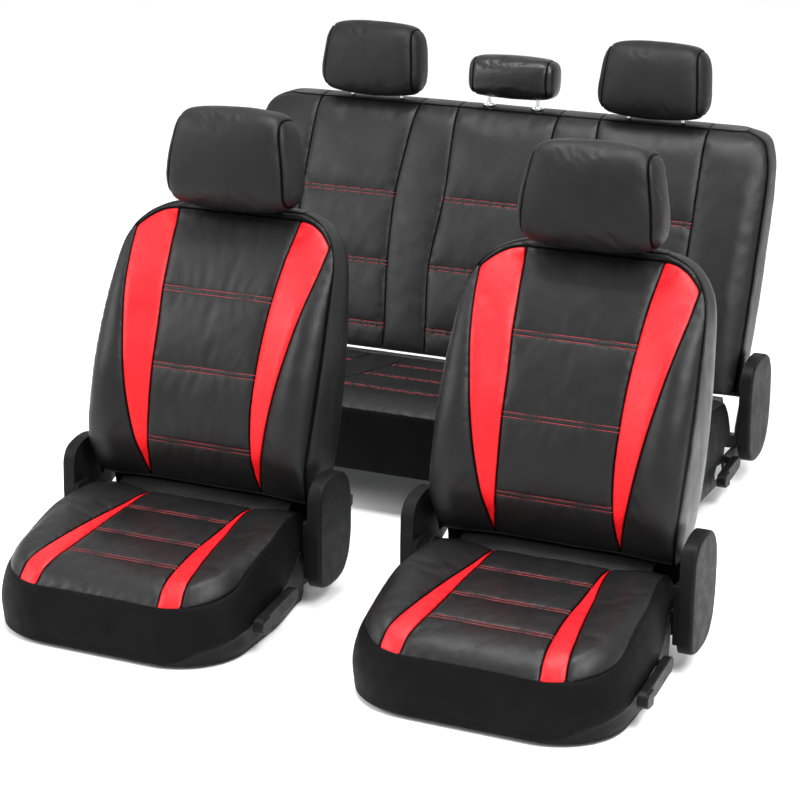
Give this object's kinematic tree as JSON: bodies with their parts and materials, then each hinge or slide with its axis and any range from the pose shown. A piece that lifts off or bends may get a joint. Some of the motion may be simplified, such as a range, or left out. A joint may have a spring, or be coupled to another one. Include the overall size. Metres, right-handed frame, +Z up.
{
  "type": "seat cover set",
  "caption": "Fitted black and red leatherette covers on front bucket seats and a rear bench, with sliding, reclining and folding seats and height-adjustable headrests.",
  "frame": {"origin": "on the floor, under the middle of the bounding box of the whole set", "axes": "+Z up, the seats face -Y, +X towards the right-hand side as seen from the front"},
  "size_m": [1.482, 1.5945, 0.9072],
  "materials": {
    "leatherette_black": "satin",
    "leatherette_red": "satin",
    "leatherette_headrest": "matte",
    "plastic_black": "matte",
    "foam": "matte",
    "steel_black": "satin",
    "chrome": "polished"
  },
  "bodies": {
    "floor": {"front_left_floor_rails": "steel_black", "front_right_floor_rails": "steel_black", "rear_base": "steel_black", "rear_cushion_cover": "leatherette_black", "rear_cushion_foam": "foam", "rear_side_shield": "plastic_black", "rear_recliner_cover_left": "plastic_black", "rear_recliner_cover_right": "plastic_black"},
    "front_left_seat": {"front_left_seat_base": "steel_black", "front_left_cushion_cover": "leatherette_black", "front_left_cushion_foam": "foam", "front_left_cushion_insert_left": "leatherette_red", "front_left_cushion_insert_right": "leatherette_red", "front_left_side_shield": "plastic_black", "front_left_recliner_cover_left": "plastic_black", "front_left_recliner_cover_right": "plastic_black"},
    "front_left_backrest": {"front_left_back_frame": "steel_black", "front_left_back_foam": "foam", "front_left_back_cover": "leatherette_black", "front_left_back_insert_left": "leatherette_red", "front_left_back_insert_right": "leatherette_red", "front_left_guide_left": "plastic_black", "front_left_guide_right": "plastic_black"},
    "front_left_headrest": {"front_left_headrest_cover": "leatherette_headrest", "front_left_headrest_foam": "foam", "front_left_headrest_posts": "chrome"},
    "front_left_lever": {"front_left_recline_lever": "plastic_black"},
    "front_right_seat": {"front_right_seat_base": "steel_black", "front_right_cushion_cover": "leatherette_black", "front_right_cushion_foam": "foam", "front_right_cushion_insert_left": "leatherette_red", "front_right_cushion_insert_right": "leatherette_red", "front_right_side_shield": "plastic_black", "front_right_recliner_cover_left": "plastic_black", "front_right_recliner_cover_right": "plastic_black"},
    "front_right_backrest": {"front_right_back_frame": "steel_black", "front_right_back_foam": "foam", "front_right_back_cover": "leatherette_black", "front_right_back_insert_left": "leatherette_red", "front_right_back_insert_right": "leatherette_red", "front_right_guide_left": "plastic_black", "front_right_guide_right": "plastic_black"},
    "front_right_headrest": {"front_right_headrest_cover": "leatherette_headrest", "front_right_headrest_foam": "foam", "front_right_headrest_posts": "chrome"},
    "front_right_lever": {"front_right_recline_lever": "plastic_black"},
    "rear_backrest": {"rear_back_frame": "steel_black", "rear_back_cover": "leatherette_black", "rear_back_foam": "foam", "rear_guide_left": "plastic_black", "rear_guide_right": "plastic_black"},
    "rear_headrest_left": {"rear_headrest_left_cover": "leatherette_headrest", "rear_headrest_left_posts": "chrome"},
    "rear_headrest_right": {"rear_headrest_right_cover": "leatherette_headrest", "rear_headrest_right_posts": "chrome"},
    "rear_headrest_centre": {"rear_headrest_centre_cover": "leatherette_headrest", "rear_headrest_centre_posts": "chrome"},
    "rear_lever": {"rear_release_lever": "plastic_black"}
  },
  "joints": [
    {"name": "front_left_slide", "type": "slide", "parent": "floor", "child": "front_left_seat", "axis": [0, -1, 0], "range_m": [-0.1, 0.12]},
    {"name": "front_left_recline", "type": "hinge", "parent": "front_left_seat", "child": "front_left_backrest", "pos_m": [-0.259, -0.3765, 0.13], "axis": [1, 0, 0], "range_deg": [-35, 20]},
    {"name": "front_left_headrest_height", "type": "slide", "parent": "front_left_backrest", "child": "front_left_headrest", "axis": [0, 0.06, 0.9982], "range_m": [0, 0.06]},
    {"name": "front_left_lever_pull", "type": "hinge", "parent": "front_left_seat", "child": "front_left_lever", "pos_m": [0.001, -0.5415, 0.068], "axis": [-1, 0, 0], "range_deg": [0, 22], "stiffness_Nm_per_rad": 0.8},
    {"name": "front_right_slide", "type": "slide", "parent": "floor", "child": "front_right_seat", "axis": [0, -1, 0], "range_m": [-0.1, 0.12]},
    {"name": "front_right_recline", "type": "hinge", "parent": "front_right_seat", "child": "front_right_backrest", "pos_m": [0.461, -0.3765, 0.13], "axis": [1, 0, 0], "range_deg": [-35, 20]},
    {"name": "front_right_headrest_height", "type": "slide", "parent": "front_right_backrest", "child": "front_right_headrest", "axis": [0, 0.06, 0.9982], "range_m": [0, 0.06]},
    {"name": "front_right_lever_pull", "type": "hinge", "parent": "front_right_seat", "child": "front_right_lever", "pos_m": [0.721, -0.5415, 0.068], "axis": [-1, 0, 0], "range_deg": [0, 22], "stiffness_Nm_per_rad": 0.8},
    {"name": "rear_back_fold", "type": "hinge", "parent": "floor", "child": "rear_backrest", "pos_m": [-0.089, 0.5785, 0.245], "axis": [1, 0, 0], "range_deg": [0, 70]},
    {"name": "rear_headrest_left_height", "type": "slide", "parent": "rear_backrest", "child": "rear_headrest_left", "axis": [0, 0.1197, 0.9928], "range_m": [0, 0.06]},
    {"name": "rear_headrest_right_height", "type": "slide", "parent": "rear_backrest", "child": "rear_headrest_right", "axis": [0, 0.1197, 0.9928], "range_m": [0, 0.06]},
    {"name": "rear_headrest_centre_height", "type": "slide", "parent": "rear_backrest", "child": "rear_headrest_centre", "axis": [0, 0.1197, 0.9928], "range_m": [0, 0.06]},
    {"name": "rear_lever_pull", "type": "hinge", "parent": "floor", "child": "rear_lever", "pos_m": [0.531, 0.4745, 0.076], "axis": [-1, 0, 0], "range_deg": [0, 20], "stiffness_Nm_per_rad": 0.8}
  ]
}
